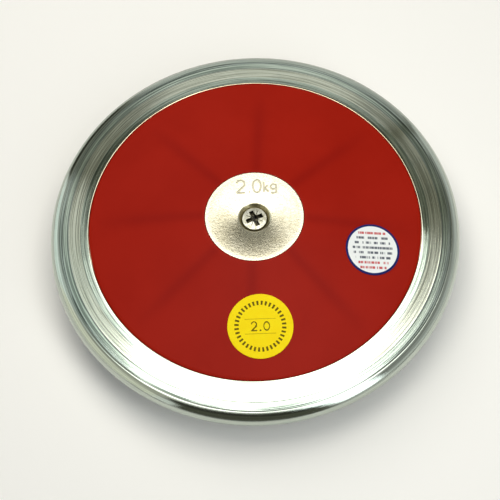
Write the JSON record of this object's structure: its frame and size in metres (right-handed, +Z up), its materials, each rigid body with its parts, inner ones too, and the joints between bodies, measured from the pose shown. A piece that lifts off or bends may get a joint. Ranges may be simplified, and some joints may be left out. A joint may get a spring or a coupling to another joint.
{
  "type": "throwing discus",
  "caption": "Throwing discus with a turned steel rim, two moulded conical side plates and dished metal centre plates drawn together by a central screw joint.",
  "frame": {"origin": "centre of the rear centre plate's flat ring, on the surface that the discus lies on, at the bottom centre of the bounding box", "axes": "+Z up along the discus's own axis, out of its front face; -Y from the axis towards the yellow label; +X towards the white label"},
  "size_m": [0.22, 0.22, 0.045],
  "materials": {
    "zinc_plate": "turned steel, clear zinc plating with fine lathe lines, roughness 0.3",
    "red_plastic": "moulded ABS, satin to semi-gloss, roughness 0.38",
    "nickel_plate": "cast metal with satin nickel plating, roughness 0.4",
    "screw_zinc": "zinc-plated steel, roughness 0.35",
    "plain_steel": "plain turned steel, roughness 0.45",
    "yellow_vinyl": "printed vinyl sticker, satin",
    "white_vinyl": "printed vinyl sticker, satin"
  },
  "bodies": {
    "root": {"rim": "zinc_plate", "front_side_plate": "red_plastic", "rear_side_plate": "red_plastic", "front_centre_plate": "nickel_plate", "rear_centre_plate": "nickel_plate", "front_screw": "screw_zinc", "rear_screw": "screw_zinc", "coupling_nut": "plain_steel", "trim_washer_1": "plain_steel", "trim_washer_2": "plain_steel", "trim_washer_3": "plain_steel", "yellow_label": "yellow_vinyl", "white_label": "white_vinyl"}
  },
  "joints": []
}
